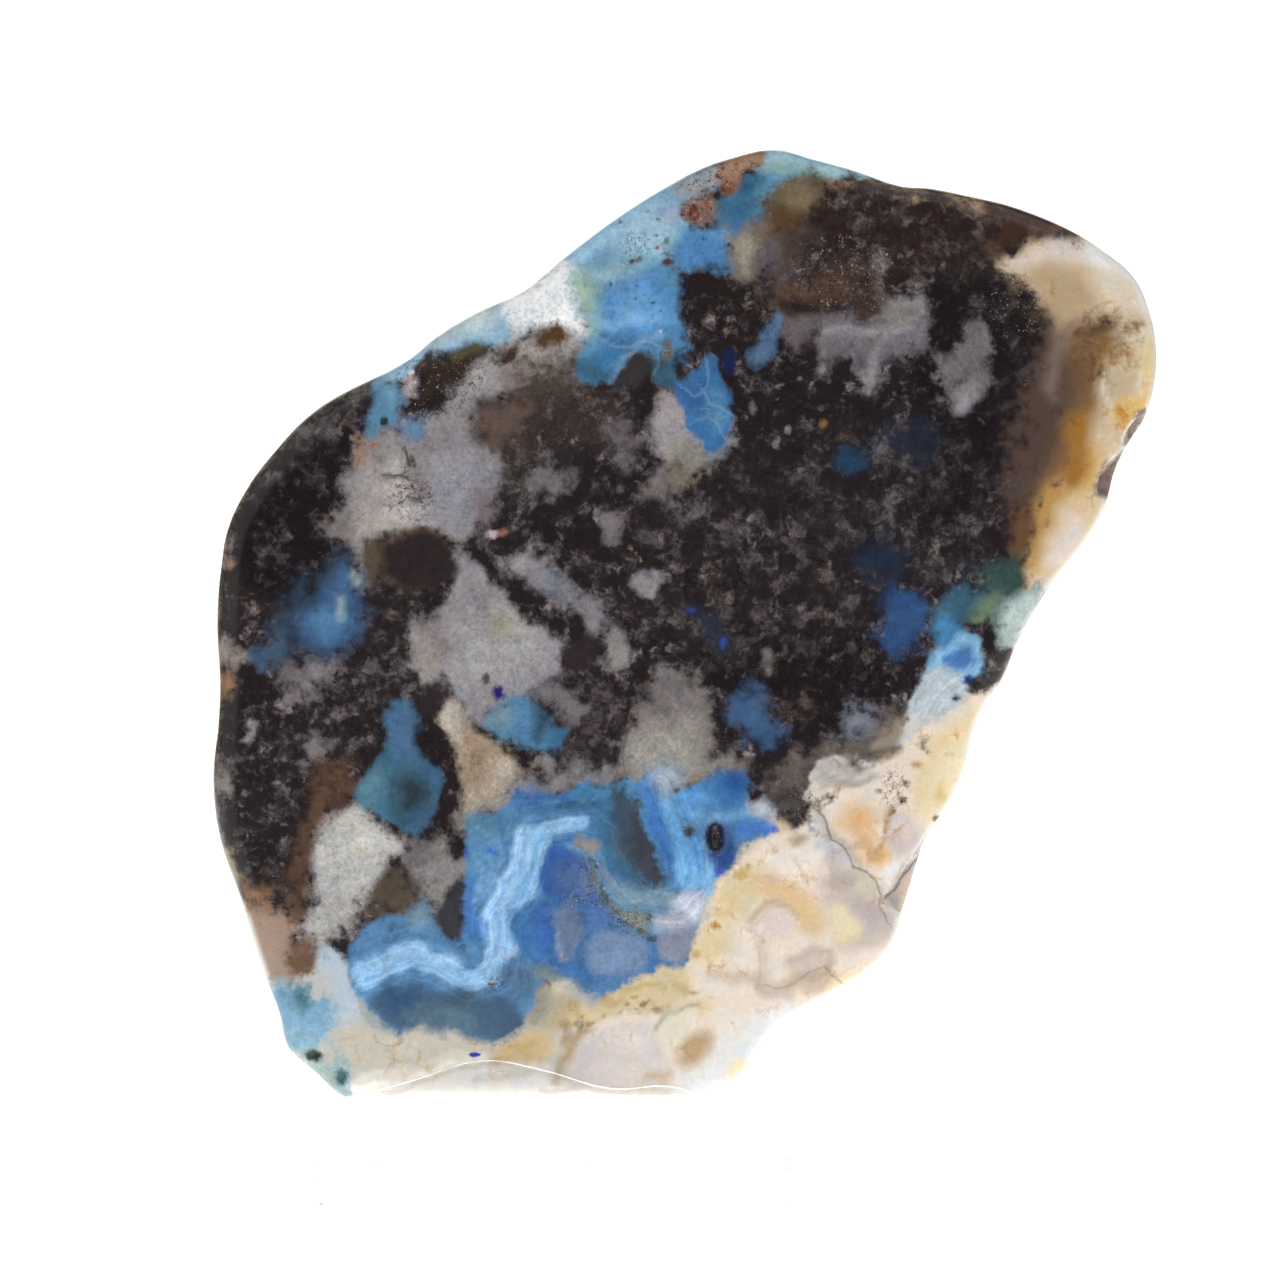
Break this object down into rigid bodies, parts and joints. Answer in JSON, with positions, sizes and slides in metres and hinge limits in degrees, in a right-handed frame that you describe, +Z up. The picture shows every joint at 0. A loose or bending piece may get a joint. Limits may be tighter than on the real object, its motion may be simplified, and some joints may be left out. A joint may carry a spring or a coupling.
{
  "type": "azurite and malachite slice in a clear stand",
  "caption": "Irregular polished slab of dark quartz matrix with blue azurite and pale quartz, standing upright in the slot of a small clear holder.",
  "frame": {"origin": "on the table under the middle of the whole", "axes": "+Z up; the polished face of the slice looks along -Y; +X to the right seen from the front"},
  "size_m": [0.0594, 0.026, 0.0649],
  "materials": {
    "polished_stone": "polished, opaque",
    "clear_acrylic": "clear, gloss"
  },
  "bodies": {
    "root": {"stone_slice": "polished_stone", "clear_stand": "clear_acrylic"}
  },
  "joints": []
}
